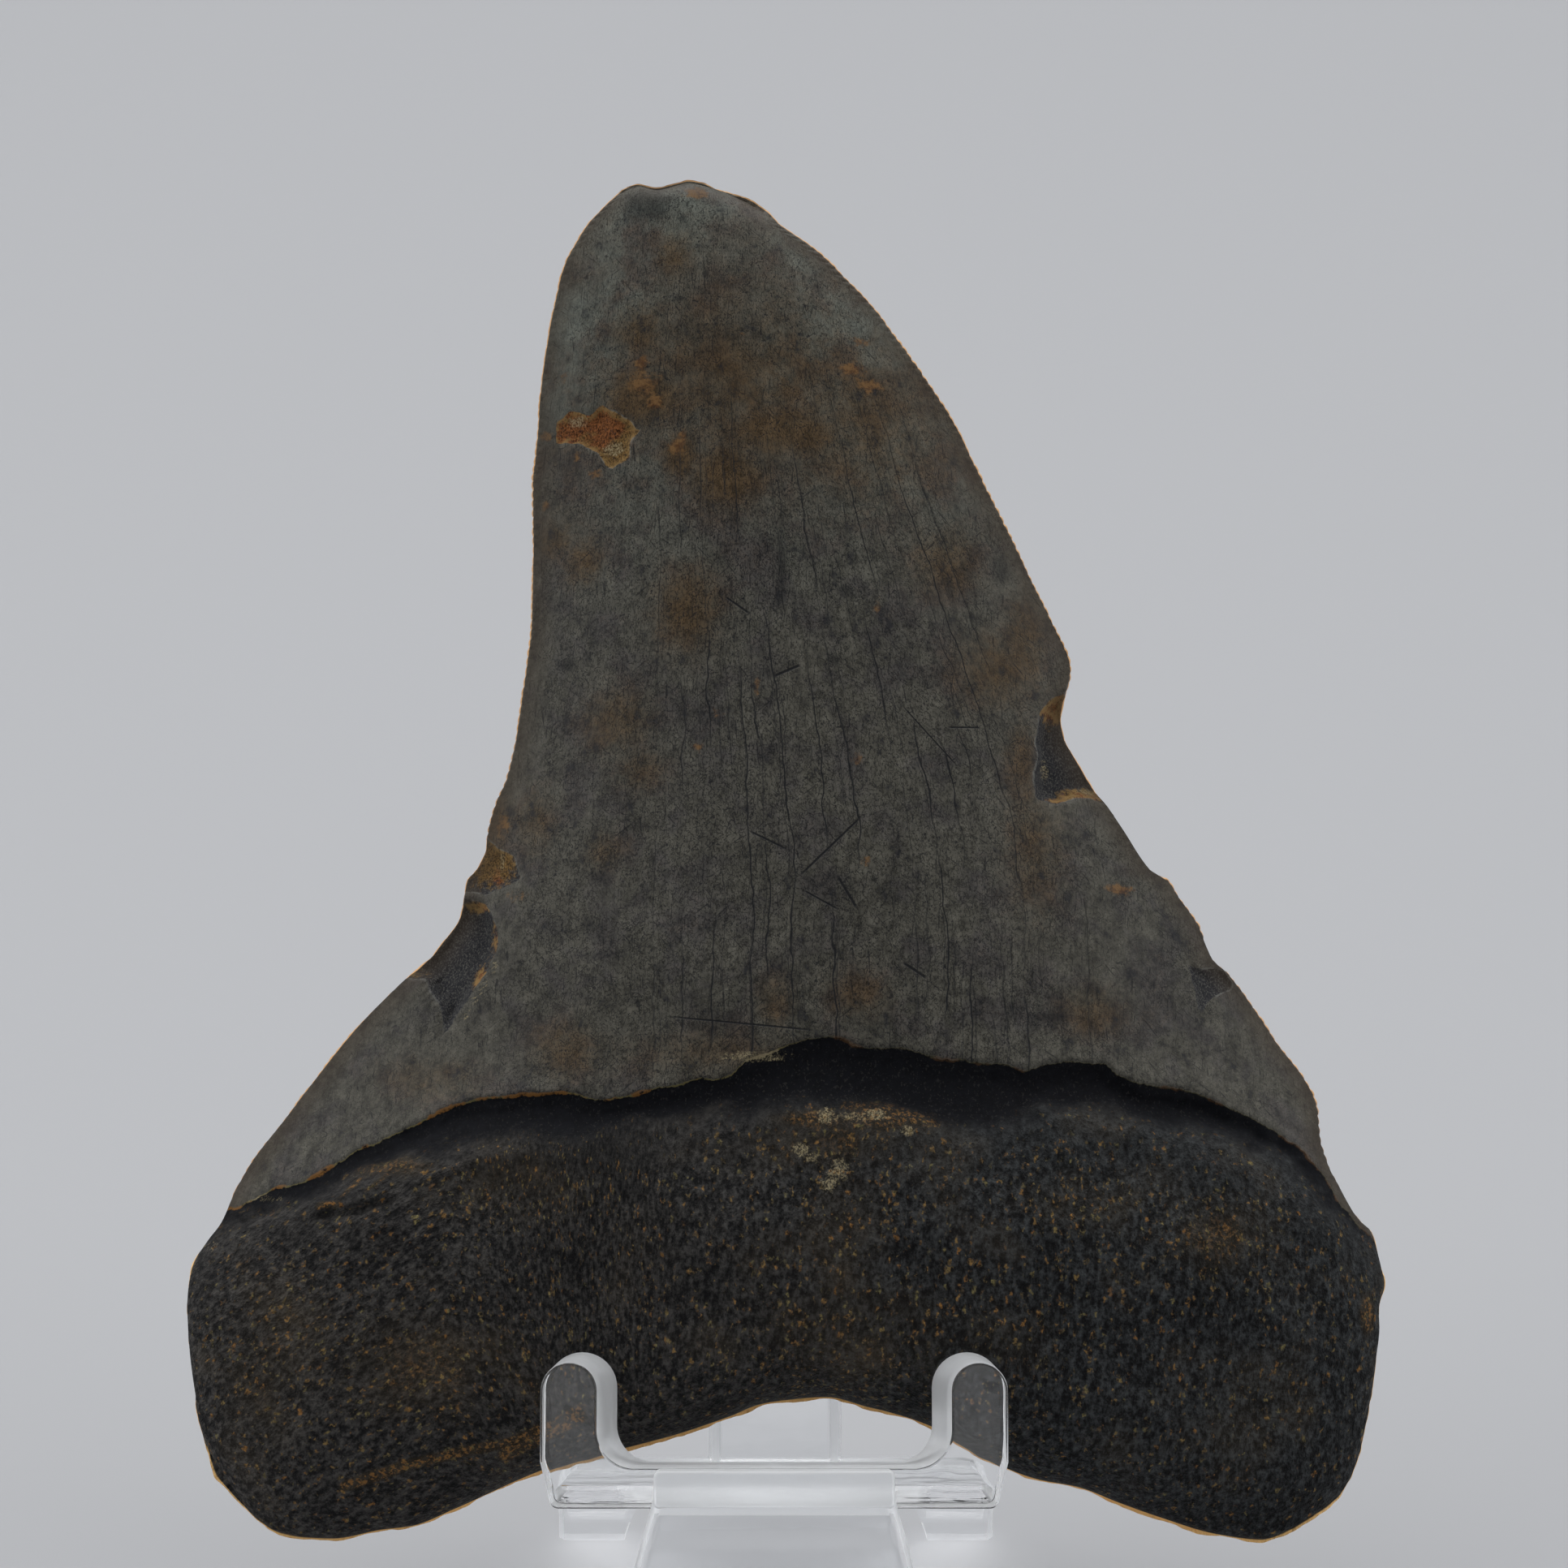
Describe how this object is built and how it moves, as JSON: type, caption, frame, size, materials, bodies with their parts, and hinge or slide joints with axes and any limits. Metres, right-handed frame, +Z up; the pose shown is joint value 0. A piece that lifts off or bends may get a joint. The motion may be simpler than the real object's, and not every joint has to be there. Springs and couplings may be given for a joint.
{
  "type": "megalodon tooth on a clear display stand",
  "caption": "Fossil shark tooth with a dark root, smooth dark band and grey enamel crown, leaning on a small clear moulded easel.",
  "frame": {"origin": "on the table, under the middle of the object's bounding box", "axes": "+Z up, the tooth's display face towards -Y, +X to the right seen from the front"},
  "size_m": [0.1095, 0.0658, 0.136],
  "materials": {
    "fossil_tooth": "worn satin enamel, near-black grainy root",
    "clear_plastic": "clear moulded acrylic, polished"
  },
  "bodies": {
    "root": {"megalodon_tooth": "fossil_tooth", "display_stand": "clear_plastic"}
  },
  "joints": []
}
